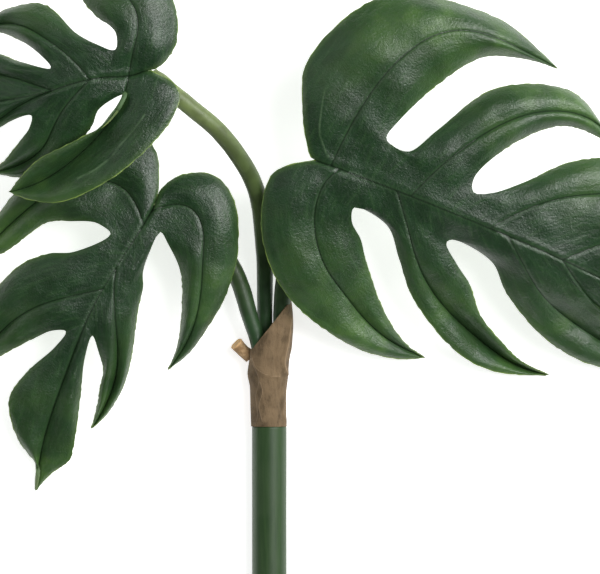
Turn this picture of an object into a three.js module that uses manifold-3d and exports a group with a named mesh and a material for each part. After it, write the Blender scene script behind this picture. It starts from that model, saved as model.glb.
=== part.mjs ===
// A cut monstera spray, lying on a surface: a stem, a paper sheath and three split leaves.
// Millimetres and degrees. X is across the stem, +Y runs from the cut end to the leaves, +Z is up.
import * as THREE from "three";
import { mergeVertices } from "three/addons/utils/BufferGeometryUtils.js";
import Module from "manifold-3d";

// Driving dimensions.
const STEM_DIAMETER = 14;
const STEM_BELOW_SHEATH = 190; // from the sheath's foot, at y = 0, to the cut end
const STEM_NECK_DIAMETER = 12.4; // where the sheath hides it
const STEM_NECK_LENGTH = 20;
const STEM_CUT_HEIGHT = STEM_DIAMETER / 2; // of the axis, at the cut end
const STEM_NECK_HEIGHT = 8.7; // of the axis, where the thicker sheath lifts it
const PETIOLE_DIAMETER = 7;
const PETIOLE_FOOT_DIAMETER = 6.2; // where three of them share the sheath
const BLADE_THICKNESS = 1.4;
const BLADE_PUFF = 2; // how far the blade swells up between its veins
const CLEARANCE = 0.3; // between neighbouring pieces
const SHEATH_MOUTH_MIDDLE = 40; // where the slanted mouth crosses the stem's axis
const SHEATH_MOUTH_SLANT = 51; // degrees that the mouth leans from square
const STUB_DIAMETER = 5.6;

// How finely the solids are divided.
const TUBE_SIDES = 14;
const SHEATH_SIDES = 28;
const MIDRIB_STEPS = 26;
const VEIN_STEPS = 10;
const TIP_COLUMNS = 3; // across half of the leaf's own tip
const WALK_STEPS = 96;
const MIDRIB_CROWDING = 1.5; // above 1, the midrib's steps are shorter near the joint

// Leaves. Each starts at its joint and runs along its axis, a heading in degrees from +X.
// veer: headings at even stations along a rib. The midrib's are measured from the axis, and a
// lobe's are measured from the axis away from the midrib, so that both sides read alike.
// heights: above the surface, at even stations along the rib.
// root: where a lobe's vein leaves the midrib, as a share of the midrib.
// near and far: [share of the vein, width to the margin], on the joint's side and the tip's side.
// bows: how far the near and far margins arch above a straight fall from slit to tip.
// slit: the bottom of the slit after the lobe, reached from a share of the midrib.
const RIGHT_LEAF = {
  joint: [18.4, 107],
  axis: -22.7,
  length: 168,
  veer: [3, 1, 0, -3, -1],
  heights: [42, 44, 44, 44, 42, 38, 33, 27, 18],
  left: [
    {
      root: 0.047, length: 121, veer: [88, 79, 56, 4, -4], heights: [43, 49, 53, 49, 36],
      near: [[0, 9], [0.125, 20.5], [0.25, 28.3], [0.5, 23.5], [0.75, 8], [0.88, 4.4]],
      far: [[0.17, 14.8], [0.25, 15.5], [0.5, 17.5], [0.75, 9], [0.88, 3]],
      bows: [7, 4], slit: { at: 0.15, reach: 16.4, heading: 82, height: 45 },
    },
    {
      root: 0.231, length: 99, veer: [70, 61, 46, 14, -34], heights: [44, 49, 48, 43, 30],
      near: [[0.12, 13], [0.25, 12], [0.5, 14.2], [0.75, 8.6]],
      far: [[0.25, 12], [0.5, 8.9], [0.75, 5.6]],
      bows: [6, 5], slit: { at: 0.37, reach: 11.3, heading: 76, height: 43 },
    },
    {
      root: 0.435, length: 75, veer: [55, 44, 30, 22, 14], heights: [44, 43.5, 41, 34, 27],
      near: [[0.1, 11.9], [0.25, 10.4], [0.5, 14], [0.75, 13]], far: [[0.8, 5]],
      bows: [3, 0], slit: { at: 0.58, reach: 34, heading: 46, height: 35 },
    },
    {
      root: 0.62, length: 52, veer: [45, 44, 30, 20, 12], heights: [38, 37, 34, 29, 23],
      near: [[0.8, 6]], far: [[0.8, 4]],
      bows: [1, 0], slit: { at: 0.74, reach: 22, heading: 30, height: 28 },
    },
    { near: [[0.86, 9], [0.94, 5]], bows: [0] },
  ],
  right: [
    {
      root: 0.056, length: 99, veer: [122, 90, 66, 49, 31, 29, 20, 6, 0], heights: [43, 37.5, 28, 16, 6],
      near: [[0.06, 11], [0.125, 20.6], [0.25, 21.4], [0.375, 20.4], [0.5, 18.2], [0.75, 11], [0.9, 5]],
      far: [[0.25, 15], [0.375, 17.4], [0.5, 15.6], [0.75, 7.4], [0.9, 2.2]],
      bows: [4, 0], slit: { at: 0.12, reach: 12.5, heading: 77, height: 38 },
    },
    {
      root: 0.195, length: 103, veer: [49, 52, 50, 37, 25, 18, 14, 2, -14], heights: [43, 35, 22, 8, 1.2],
      near: [[0.12, 7.6], [0.25, 6.6], [0.375, 7.9], [0.5, 8.9], [0.625, 9.8], [0.75, 8.5], [0.875, 3.8]],
      far: [[0.25, 13.4], [0.375, 14], [0.5, 13.4], [0.625, 7.6], [0.75, 5], [0.875, 2.2]],
      bows: [4, 4], slit: { at: 0.355, reach: 10, heading: 76, height: 34 },
    },
    {
      root: 0.465, length: 77, veer: [38, 36, 15, 8, 0], heights: [42, 34, 22, 11, 2],
      near: [[0.08, 10.4], [0.25, 11.4], [0.5, 12], [0.75, 11], [0.9, 7]], far: [[0.85, 3]],
      bows: [3, 0], slit: { at: 0.6, reach: 34, heading: 24, height: 22 },
    },
    {
      root: 0.64, length: 52, veer: [34, 30, 20, 12, 6], heights: [37, 31, 24, 17, 10],
      near: [[0.85, 2.5]], far: [[0.8, 4]],
      bows: [0, 0], slit: { at: 0.75, reach: 20, heading: 18, height: 22 },
    },
    { near: [[0.9, 7], [0.95, 4]], bows: [0] },
  ],
};

const LOWER_LEAF = {
  joint: [-44.8, 91.2],
  axis: -113,
  length: 129,
  veer: [-6, -10, 1, 4, 17],
  heights: [30, 31, 30, 27, 22.5, 17.5, 11, 6, 1],
  left: [
    {
      root: 0.035, length: 87, veer: [140, 112, 50, 22, 20, 15, 4, -8, -16], heights: [31, 32, 29, 21, 11],
      near: [[0.06, 6], [0.125, 11.6], [0.19, 16.4], [0.25, 15.8], [0.375, 14], [0.5, 12.6], [0.625, 9.4],
        [0.75, 5.4], [0.875, 3.2]],
      far: [[0.375, 14.4], [0.5, 9], [0.625, 7.4], [0.75, 5.6], [0.875, 2.6]],
      bows: [5, 2], slit: { at: 0.075, reach: 7.4, heading: 89, height: 28.5 },
    },
    {
      root: 0.24, length: 68, veer: [13, 27, 23, 2, -12], heights: [29, 26, 17, 8.5, 3],
      near: [[-0.12, 12], [0, 10.8], [0.1, 11.6], [0.25, 9.6], [0.375, 7.7], [0.5, 6], [0.625, 4.7], [0.75, 3.6],
        [0.875, 2.4]],
      far: [[0.5, 7.6], [0.625, 5.3], [0.75, 4.8], [0.875, 2.6]],
      bows: [2, 1], slit: { at: 0.44, reach: 5.4, heading: 55, height: 21 },
    },
    { near: [[0.55, 5], [0.66, 8.5], [0.8, 12], [0.88, 12], [0.94, 5.4]], bows: [1] },
  ],
  right: [
    {
      root: 0.09, length: 89, veer: [139, 125, 84, 56, 45, 30, 25, 22, 20], heights: [31, 28.5, 25, 19, 13],
      near: [[0.06, 7.4], [0.125, 12.8], [0.19, 20.8], [0.25, 22.4], [0.375, 17], [0.5, 12], [0.75, 7]],
      far: [[0.25, 17.5], [0.375, 16.5], [0.5, 13.6], [0.625, 9.4], [0.75, 8], [0.88, 6.4]],
      bows: [4, 1.5], slit: { at: 0.17, reach: 9.4, heading: 107, height: 29 },
    },
    {
      root: 0.3, length: 70, veer: [53, 53, 35, 15, 12], heights: [28, 25, 19.5, 11, 5],
      near: [[0.12, 17.2], [0.25, 18.8], [0.375, 18.4], [0.5, 15.4], [0.75, 9]],
      far: [[0.375, 11.2], [0.5, 10.8], [0.75, 6.8]],
      bows: [3, 2], slit: { at: 0.46, reach: 8.3, heading: 47, height: 20 },
    },
    { near: [[0.55, 8], [0.66, 15.6], [0.75, 18.2], [0.85, 10.6], [0.93, 0]], bows: [2] },
  ],
};

const UPPER_LEAF = {
  joint: [-48, 143.2],
  axis: 191,
  length: 92,
  veer: [21, -8, -1, 7, 1, -3, -5, -3, -2],
  heights: [58, 60.5, 61, 59.5, 56, 52, 46, 38, 28],
  left: [
    {
      root: 0.085, length: 70, veer: [70, 44, 32, 20, 0], heights: [60, 56, 51.5, 49, 49],
      near: [[0, 18.4], [0.05, 21.6], [0.125, 21.4], [0.25, 19.2], [0.5, 16], [0.75, 11.6], [0.88, 6.2]],
      far: [[0.3, 0.6], [0.5, 5], [0.75, 8], [0.88, 5.6]],
      bows: [9, 5], slit: { at: 0.15, reach: 8, heading: 110, height: 58 },
    },
    {
      root: 0.25, length: 58, veer: [34, 36, 41, 52, 51, 30, 14, 4, -6], heights: [60.5, 56, 49.5, 42, 36],
      near: [[0.1, 10.7], [0.25, 13], [0.5, 10], [0.75, 6]],
      far: [[0.5, 8.6], [0.625, 8.6], [0.75, 7], [0.875, 3.4]],
      bows: [1, 2.5], slit: { at: 0.36, reach: 16.5, heading: 31, height: 51 },
    },
    {
      root: 0.41, length: 46, veer: [8, 16, 26, 36, 41], heights: [57, 52, 46, 41, 35],
      near: [[0.5, 3], [0.75, 2.6]], far: [[0.75, 5]],
      bows: [1, 0], slit: { at: 0.6, reach: 15.5, heading: 21, height: 43 },
    },
    { near: [[0.82, 7], [0.92, 4]], bows: [0] },
  ],
  right: [
    {
      root: 0.085, length: 63, veer: [110, 112, 66, 43, 35], heights: [60, 64, 63, 55, 46],
      near: [[0.06, 8], [0.125, 12.5], [0.25, 15.8], [0.375, 15.8], [0.5, 15], [0.75, 8]],
      far: [[0.25, 8.4], [0.375, 12.2], [0.5, 14], [0.75, 13]],
      bows: [6, 4], slit: { at: 0.17, reach: 11.4, heading: 118, height: 60 },
    },
    {
      root: 0.235, length: 63, veer: [64, 50, 38, -2, -22], heights: [61, 60.5, 56, 46, 37],
      near: [[0.125, 11.4], [0.25, 9], [0.5, 11.4], [0.75, 4]],
      far: [[0.25, 7.6], [0.375, 6.3], [0.5, 5.8], [0.75, 2.8]],
      bows: [5, 3.5], slit: { at: 0.36, reach: 8.8, heading: 70, height: 56 },
    },
    {
      root: 0.41, length: 40, veer: [30, 30, 24, 17, 12], heights: [57, 53, 49, 43, 37],
      near: [[0.4, 7], [0.62, 8], [0.8, 5]], far: [[0.8, 4]],
      bows: [1, 0], slit: { at: 0.6, reach: 12.4, heading: 40, height: 44 },
    },
    { near: [[0.82, 7], [0.92, 4]], bows: [0] },
  ],
};

// Petiole routes, from the foot in the sheath to just under the leaf's joint.
const RIGHT_PETIOLE = [
  [3.7, 20.6, 10], [4.4, 36, 10.5], [5.2, 50, 13.5], [6.8, 66, 19.5], [10, 84, 28.5], [15, 99, 35],
  [17.8, 105.5, 37.6],
];
const LOWER_PETIOLE = [
  [-3, 20.6, 11.2], [-4.4, 33, 12.8], [-8, 45, 14.5], [-13.4, 61.5, 16.5], [-25.5, 80, 21], [-37.5, 89.5, 24.6],
  [-43.6, 91.8, 26],
];
const UPPER_PETIOLE = [
  [-0.7, 20.6, 4.9], [-1.8, 39, 6.6], [-1.8, 57, 11], [-2, 71, 17], [-5.8, 97, 31], [-18.6, 117, 44],
  [-33, 129.5, 51], [-43, 137.5, 54.4], [-46.6, 141.8, 55.2],
];

// The sheath's outside, as ellipses across the stem: [y, middle x, middle z, half width, half height].
const SHEATH_SECTIONS = [
  [0, -0.2, 8.5, 7.2, 7.3], [10, -0.3, 8.6, 7.2, 7.5], [16, -0.4, 8.7, 7.4, 7.9], [21.5, -0.5, 8.8, 8.2, 8.5],
  [27, 0, 9, 8.1, 8.6], [32, 0.6, 9.3, 8.3, 8.9], [38, 1.1, 9.8, 8.5, 9.2], [44, 1.3, 10.2, 8.3, 9.2],
  [52, 1.2, 10.6, 7.6, 8.8],
];
const STUB_ROUTE = [[-7.8, 28.4, 7.4], [-10.6, 30.6, 8.4], [-13.4, 33.6, 9.6]];

const wasm = await Module();
wasm.setup();

// Smooth value between evenly spaced ones.
function between(values, share) {
  const stations = values.map((value, i) => new THREE.Vector2(i, value));
  return new THREE.SplineCurve(stations).getPoint(THREE.MathUtils.clamp(share, 0, 1)).y;
}

// Flat line that leaves a point and turns smoothly through its headings.
function walk(start, axis, side, rib) {
  const stride = rib.length / WALK_STEPS;
  const points = [start.clone()];
  for (let i = 0; i < WALK_STEPS; i++) {
    const heading = THREE.MathUtils.degToRad(axis + side * between(rib.veer, (i + 0.5) / WALK_STEPS));
    const step = new THREE.Vector2(Math.cos(heading), Math.sin(heading)).multiplyScalar(stride);
    points.push(points[i].clone().add(step));
  }
  return points;
}

// Point at a share of a walked line, moved sideways: left of the way it runs when hand is 1.
function beside(line, share, width, hand) {
  const place = share * (line.length - 1);
  const i = THREE.MathUtils.clamp(Math.floor(place), 0, line.length - 2);
  const along = line[i + 1].clone().sub(line[i]);
  const across = new THREE.Vector2(-along.y, along.x).normalize().multiplyScalar(width * hand);
  return line[i].clone().addScaledVector(along, place - i).add(across);
}

// Length of a polyline up to each of its points.
function lengthsAlong(line) {
  const lengths = [0];
  line.slice(1).forEach((p, i) => lengths.push(lengths[i] + p.distanceTo(line[i])));
  return lengths;
}
const lengthOf = (line) => lengthsAlong(line).at(-1);

// A flat line, with the heights that a function of the share of its length gives.
function raise(line, height) {
  const lengths = lengthsAlong(line);
  return line.map((p, i) => new THREE.Vector3(p.x, p.y, height(lengths[i] / lengths.at(-1))));
}

// Points at shares of a polyline's length.
function pick(line, shares) {
  const lengths = lengthsAlong(line);
  return shares.map((share) => {
    const wanted = share * lengths.at(-1);
    const i = Math.min(Math.max(lengths.findIndex((l) => l >= wanted) - 1, 0), line.length - 2);
    const part = (wanted - lengths[i]) / (lengths[i + 1] - lengths[i]);
    return line[i].clone().lerp(line[i + 1], part);
  });
}

const evenShares = (from, to, steps) =>
  Array.from({ length: steps + 1 }, (_, i) => THREE.MathUtils.lerp(from, to, i / steps));

// Midrib's points, crowded towards the joint, and the step nearest to a share of it.
const midribShares = evenShares(0, 1, MIDRIB_STEPS).map((share) => share ** MIDRIB_CROWDING);
const midribStep = (share) => Math.round(share ** (1 / MIDRIB_CROWDING) * MIDRIB_STEPS);

// Smooth flat line through a few points, and the same line cut at one of them.
function smooth(points, cut) {
  const curve = new THREE.CatmullRomCurve3(points.map((p) => new THREE.Vector3(p.x, p.y, 0)));
  const steps = 12 * (points.length - 1);
  const line = curve.getPoints(steps).map((p) => new THREE.Vector2(p.x, p.y));
  return [line.slice(0, 12 * cut + 1), line.slice(12 * cut)];
}

// Margin's height: a straight fall from slit to tip, arched by a bow.
const fall = (from, to, bow) => (share) =>
  THREE.MathUtils.lerp(from, to, share) + bow * Math.sin(Math.PI * share);

// Free margins of one side of a leaf: for each lobe, from the slit (or the joint) out to its tip.
function margins(lobes, lines, midrib, axis, side) {
  const tipHeight = (lobe) => (lobe.heights ? lobe.heights.at(-1) : midrib.at(-1).z);
  const edge = (lobe, line, name, hand) =>
    (lobe[name] ?? []).map(([share, width]) => beside(line, share, width, hand));
  const joint = new THREE.Vector2(midrib[0].x, midrib[0].y);
  const [, first] = smooth([joint, ...edge(lobes[0], lines[0], "near", side), lines[0].at(-1)], 0);
  const found = [{ near: raise(first, fall(midrib[0].z, tipHeight(lobes[0]), lobes[0].bows[0])) }];
  lobes.slice(0, -1).forEach((lobe, i) => {
    const next = lobes[i + 1];
    const { at, reach, heading, height } = lobe.slit;
    const root = midrib[midribStep(at)];
    const angle = THREE.MathUtils.degToRad(axis + side * heading);
    const bottom = new THREE.Vector2(root.x + reach * Math.cos(angle), root.y + reach * Math.sin(angle));
    const out = edge(lobe, lines[i], "far", -side).reverse();
    const back = edge(next, lines[i + 1], "near", side);
    const [down, up] = smooth([lines[i].at(-1), ...out, bottom, ...back, lines[i + 1].at(-1)], out.length + 1);
    found[i].far = raise(down.reverse(), fall(height, tipHeight(lobe), lobe.bows[1]));
    found.push({ near: raise(up, fall(height, tipHeight(next), next.bows[0])) });
  });
  return found;
}

// Boundary of half a lobe: out along the web to the slit's bottom, then along the margin to the tip.
function boundary(webRoot, margin, webSteps, steps) {
  const web = evenShares(0, 1, webSteps).map((share) => webRoot.clone().lerp(margin[0], share));
  return [...web, ...pick(margin, evenShares(0, 1, steps - webSteps)).slice(1)];
}

// Steps along the web of each slit: its share of the whole way out to the tips beside it.
function webSteps(lobes, edges, lastSteps) {
  return lobes.slice(0, -1).map((lobe, i) => {
    const { reach } = lobe.slit;
    const share = (reach / (reach + lengthOf(edges[i].far)) + reach / (reach + lengthOf(edges[i + 1].near))) / 2;
    const most = (i === lobes.length - 2 ? lastSteps : VEIN_STEPS) - 2;
    return THREE.MathUtils.clamp(Math.round(share * VEIN_STEPS), 1, Math.max(most, 1));
  });
}

// How much the blade swells at a step along the vein and a share across, from vein to boundary.
// With no web, the boundary is a free margin all the way.
function puff(step, steps, across, web) {
  const rise = Math.min(step / Math.max(web, 2), 1) * Math.min((steps - step) / 3, 1);
  const beyond = web === 0 ? 1 : THREE.MathUtils.clamp((step - web) / 3, 0, 1);
  const crest = THREE.MathUtils.lerp(Math.sin((across * Math.PI) / 2), Math.sin(across * Math.PI), beyond);
  return BLADE_PUFF * Math.sin((rise * Math.PI) / 2) * crest;
}

// Triangles of half a lobe, between its vein and its boundary, with their top side up.
function halfLobe(triangles, vein, edge, midribPoints, hand, web) {
  const across = midribPoints.length - 1;
  const steps = vein.length - 1;
  const grid = vein.map((point, a) =>
    midribPoints.map((root, j) => {
      if (a === 0) return root;
      const share = j / across;
      const spot = point.clone().lerp(edge[a], share);
      spot.z += puff(a, steps, share, web);
      return spot;
    }),
  );
  for (let a = 0; a < steps; a++) {
    for (let j = 0; j < across; j++) {
      const [p, q, r, s] = [grid[a][j], grid[a + 1][j], grid[a + 1][j + 1], grid[a][j + 1]];
      triangles.push(hand > 0 ? [p, q, r] : [p, r, q]);
      triangles.push(hand > 0 ? [p, r, s] : [p, s, r]);
    }
  }
}

// Part of the midrib from one of its steps to another, either way along it.
function midribRun(midrib, from, to) {
  const run = midrib.slice(Math.min(from, to), Math.max(from, to) + 1);
  return from > to ? run.reverse() : run;
}

// One side of a leaf.
function addSide(triangles, leaf, midrib, side) {
  const lobes = side > 0 ? leaf.left : leaf.right;
  const flat = midrib.map((p) => new THREE.Vector2(p.x, p.y));
  const lines = lobes.map((lobe) =>
    lobe.slit ? walk(flat[midribStep(lobe.root)], leaf.axis, side, lobe) : walk(flat[0], leaf.axis, 1, leaf));
  const edges = margins(lobes, lines, midrib, leaf.axis, side);
  const tipStart = midribStep(lobes.at(-2).slit.at);
  const webs = webSteps(lobes, edges, MIDRIB_STEPS - tipStart);
  lobes.slice(0, -1).forEach((lobe, i) => {
    const root = midribStep(lobe.root);
    const nearStep = i === 0 ? 0 : midribStep(lobes[i - 1].slit.at);
    const farStep = midribStep(lobe.slit.at);
    const shares = evenShares(0, 1, VEIN_STEPS);
    const vein = pick(raise(lines[i], (share) => between(lobe.heights, share)), shares);
    vein[0] = midrib[root];
    const near = i === 0 ? pick(edges[i].near, shares)
      : boundary(midrib[nearStep], edges[i].near, webs[i - 1], VEIN_STEPS);
    const far = boundary(midrib[farStep], edges[i].far, webs[i], VEIN_STEPS);
    halfLobe(triangles, vein, near, midribRun(midrib, root, nearStep), side, webs[i - 1] ?? 0);
    halfLobe(triangles, vein, far, midribRun(midrib, root, farStep), -side, webs[i]);
  });
  // The leaf's own tip has the midrib for its vein, and its rows all start at one point of it.
  const vein = midrib.slice(tipStart);
  const edge = boundary(midrib[tipStart], edges.at(-1).near, webs.at(-1), vein.length - 1);
  halfLobe(triangles, vein, edge, Array(TIP_COLUMNS + 1).fill(vein[0]), side, webs.at(-1));
}

// Surface of a leaf, its vertices shared.
function bladeSurface(leaf) {
  const start = new THREE.Vector2(...leaf.joint);
  const whole = raise(walk(start, leaf.axis, 1, leaf), (share) => between(leaf.heights, share));
  const midrib = pick(whole, midribShares);
  const triangles = [];
  addSide(triangles, leaf, midrib, 1);
  addSide(triangles, leaf, midrib, -1);
  const positions = triangles.flat().flatMap((p) => [p.x, p.y, p.z]);
  const loose = new THREE.BufferGeometry();
  loose.setAttribute("position", new THREE.Float32BufferAttribute(positions, 3));
  return mergeVertices(loose, 1e-2);
}

// Faces of a surface whose corners are three different vertices.
function facesOf(surface) {
  const index = surface.index.array;
  const faces = [];
  for (let i = 0; i < index.length; i += 3) {
    const face = [index[i], index[i + 1], index[i + 2]];
    if (new Set(face).size === 3) faces.push(face);
  }
  return faces;
}

// Closed solid of even thickness round a surface: top, underside, and a rim along each free edge.
function thicken(surface, thickness) {
  const faces = facesOf(surface);
  surface.setIndex(faces.flat());
  surface.computeVertexNormals();
  const { position, normal } = surface.attributes;
  const count = position.count;
  const vertices = [];
  for (const half of [thickness / 2, -thickness / 2]) {
    for (let i = 0; i < count; i++) {
      vertices.push(position.getX(i) + normal.getX(i) * half);
      vertices.push(position.getY(i) + normal.getY(i) * half);
      vertices.push(position.getZ(i) + normal.getZ(i) * half);
    }
  }
  const edges = new Set(faces.flatMap(([a, b, c]) => [`${a},${b}`, `${b},${c}`, `${c},${a}`]));
  const index = faces.flatMap(([a, b, c]) => [a, b, c, a + count, c + count, b + count]);
  for (const edge of edges) {
    const [a, b] = edge.split(",").map(Number);
    if (!edges.has(`${b},${a}`)) index.push(a, a + count, b + count, a, b + count, b);
  }
  const solid = new THREE.BufferGeometry();
  solid.setAttribute("position", new THREE.Float32BufferAttribute(vertices, 3));
  solid.setIndex(index);
  return solid;
}

const blade = (leaf) => thicken(bladeSurface(leaf), BLADE_THICKNESS);

// Closed loft through rings that have the same number of points.
function loft(rings) {
  const sides = rings[0].length;
  const vertices = rings.flat().flatMap((p) => [p.x, p.y, p.z]);
  const index = [];
  for (let k = 0; k < rings.length - 1; k++) {
    for (let i = 0; i < sides; i++) {
      const [a, b] = [k * sides + i, k * sides + ((i + 1) % sides)];
      index.push(a, b, b + sides, a, b + sides, a + sides);
    }
  }
  for (const [k, turned] of [[0, true], [rings.length - 1, false]]) {
    const middle = rings[k].reduce((sum, p) => sum.add(p), new THREE.Vector3()).divideScalar(sides);
    const hub = vertices.push(middle.x, middle.y, middle.z) / 3 - 1;
    for (let i = 0; i < sides; i++) {
      const [a, b] = [k * sides + i, k * sides + ((i + 1) % sides)];
      index.push(...(turned ? [hub, b, a] : [hub, a, b]));
    }
  }
  const solid = new THREE.BufferGeometry();
  solid.setAttribute("position", new THREE.Float32BufferAttribute(vertices, 3));
  solid.setIndex(index);
  return solid;
}

// Round tube along a smooth route, its radius a function of the share of its length.
function tube(route, radius, steps) {
  const curve = new THREE.CatmullRomCurve3(route.map((p) => new THREE.Vector3(...p)));
  const frames = curve.computeFrenetFrames(steps, false);
  const rings = evenShares(0, 1, steps).map((share, k) => {
    const centre = curve.getPointAt(share);
    return evenShares(0, 2 * Math.PI, TUBE_SIDES).slice(0, -1).map((angle) =>
      centre.clone()
        .addScaledVector(frames.normals[k], Math.cos(angle) * radius(share))
        .addScaledVector(frames.binormals[k], Math.sin(angle) * radius(share)));
  });
  return loft(rings);
}

const petioleRadius = (extra) => (share) =>
  THREE.MathUtils.lerp(PETIOLE_FOOT_DIAMETER, PETIOLE_DIAMETER, THREE.MathUtils.smoothstep(share, 0.15, 0.4)) / 2
  - 1.1 * THREE.MathUtils.smoothstep(share, 0.93, 1) + extra;
const petiole = (route, extra = 0) => tube(route, petioleRadius(extra), 26);

// Stem: full width below the sheath, necked inside it.
function stem(extra = 0) {
  const axisHeight = (y) =>
    THREE.MathUtils.mapLinear(y, -STEM_BELOW_SHEATH, STEM_NECK_LENGTH, STEM_CUT_HEIGHT, STEM_NECK_HEIGHT);
  const stations = [
    [-STEM_BELOW_SHEATH - extra, STEM_DIAMETER / 2 - 0.5], [-STEM_BELOW_SHEATH + 1, STEM_DIAMETER / 2],
    [-STEM_BELOW_SHEATH / 2, STEM_DIAMETER / 2], [-1.2, STEM_DIAMETER / 2],
    [-CLEARANCE, STEM_NECK_DIAMETER / 2], [STEM_NECK_LENGTH + extra, STEM_NECK_DIAMETER / 2],
  ];
  const rings = stations.map(([y, radius]) =>
    evenShares(0, 2 * Math.PI, SHEATH_SIDES).slice(0, -1).map((angle) => new THREE.Vector3(
      Math.sin(angle) * (radius + extra), y, axisHeight(y) + Math.cos(angle) * (radius + extra))));
  return loft(rings);
}

// Solid for cutting, from a closed geometry.
function solidOf(geometry) {
  const bare = new THREE.BufferGeometry();
  bare.setAttribute("position", geometry.attributes.position);
  bare.setIndex(geometry.index);
  const merged = mergeVertices(bare, 1e-3);
  return new wasm.Manifold(new wasm.Mesh({
    numProp: 3,
    vertProperties: merged.attributes.position.array,
    triVerts: new Uint32Array(merged.index.array),
  }));
}

function geometryOf(solid) {
  const mesh = solid.getMesh();
  const geometry = new THREE.BufferGeometry();
  geometry.setAttribute("position", new THREE.BufferAttribute(mesh.vertProperties, 3));
  geometry.setIndex(new THREE.BufferAttribute(mesh.triVerts, 1));
  return geometry;
}

// Paper sheath: wound tight round the stem's neck and the petioles' feet, its mouth cut on a slant.
function sheath() {
  const rings = SHEATH_SECTIONS.map(([y, x, z, halfWidth, halfHeight]) =>
    evenShares(0, 2 * Math.PI, SHEATH_SIDES).slice(0, -1).map((angle) => new THREE.Vector3(
      x + Math.sin(angle) * halfWidth, y, z + Math.cos(angle) * halfHeight)));
  const beyond = new THREE.BoxGeometry(80, 60, 60);
  beyond.translate(0, 30, 0);
  beyond.rotateZ(THREE.MathUtils.degToRad(SHEATH_MOUTH_SLANT));
  beyond.translate(0, SHEATH_MOUTH_MIDDLE, 0);
  return [
    beyond, stem(CLEARANCE), petiole(RIGHT_PETIOLE, CLEARANCE), petiole(LOWER_PETIOLE, CLEARANCE),
    petiole(UPPER_PETIOLE, CLEARANCE), stub(CLEARANCE),
  ].reduce((left, piece) => left.subtract(solidOf(piece)), solidOf(loft(rings)));
}

const stub = (extra = 0) => tube(STUB_ROUTE, () => STUB_DIAMETER / 2 + extra, 4);

function piece(name, geometry, color, roughness) {
  const mesh = new THREE.Mesh(geometry, new THREE.MeshStandardMaterial({ color, roughness, metalness: 0 }));
  mesh.name = name;
  return mesh;
}

const LEAF_GREEN = 0x2f4a2e;
const PETIOLE_GREEN = 0x4a5f38;
const STEM_GREEN = 0x34523a;
const PAPER_BROWN = 0x7a6044;
const CUT_TAN = 0xb98a5a;

const spray = new THREE.Group();
spray.add(piece("main_stem", stem(), STEM_GREEN, 0.45));
spray.add(piece("paper_sheath", geometryOf(sheath()), PAPER_BROWN, 0.85));
spray.add(piece("cut_stub", stub(), CUT_TAN, 0.8));
spray.add(piece("right_petiole", petiole(RIGHT_PETIOLE), PETIOLE_GREEN, 0.45));
spray.add(piece("lower_left_petiole", petiole(LOWER_PETIOLE), PETIOLE_GREEN, 0.45));
spray.add(piece("upper_left_petiole", petiole(UPPER_PETIOLE), PETIOLE_GREEN, 0.45));
spray.add(piece("right_blade", blade(RIGHT_LEAF), LEAF_GREEN, 0.35));
spray.add(piece("lower_left_blade", blade(LOWER_LEAF), LEAF_GREEN, 0.35));
spray.add(piece("upper_left_blade", blade(UPPER_LEAF), LEAF_GREEN, 0.35));

// The origin is the middle of the spray's box, on the surface that it lies on.
const box = new THREE.Box3().setFromObject(spray, true);
spray.position.set(-(box.min.x + box.max.x) / 2, -(box.min.y + box.max.y) / 2, -box.min.z);

export default spray;
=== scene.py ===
"""A cut monstera spray on a surface: stem, paper sheath, cut stub, three petioles and three leaves."""
import math

import bpy
import numpy as np
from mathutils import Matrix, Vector, noise


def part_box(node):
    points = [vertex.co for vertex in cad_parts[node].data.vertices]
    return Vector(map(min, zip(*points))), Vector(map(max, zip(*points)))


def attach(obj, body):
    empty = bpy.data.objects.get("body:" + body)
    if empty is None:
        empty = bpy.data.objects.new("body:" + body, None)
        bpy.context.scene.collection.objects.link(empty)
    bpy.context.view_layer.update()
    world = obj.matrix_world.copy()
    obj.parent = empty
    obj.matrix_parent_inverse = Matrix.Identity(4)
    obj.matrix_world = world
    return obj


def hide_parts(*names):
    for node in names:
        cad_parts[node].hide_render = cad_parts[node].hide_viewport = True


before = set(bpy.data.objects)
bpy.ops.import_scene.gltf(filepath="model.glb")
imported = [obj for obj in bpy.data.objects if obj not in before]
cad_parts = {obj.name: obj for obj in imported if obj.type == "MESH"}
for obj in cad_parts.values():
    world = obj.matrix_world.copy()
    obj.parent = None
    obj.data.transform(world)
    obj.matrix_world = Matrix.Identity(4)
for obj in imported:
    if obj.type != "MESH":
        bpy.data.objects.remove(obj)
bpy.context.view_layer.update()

# The spray is laid out in millimetres from the sheath's foot on the stem's axis, on the surface.
MM = 0.001
stem_low, stem_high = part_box("main_stem")
sheath_low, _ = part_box("paper_sheath")
ORIGIN = np.array([(stem_low.x + stem_high.x) / 2, sheath_low.y, stem_low.z])

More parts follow.
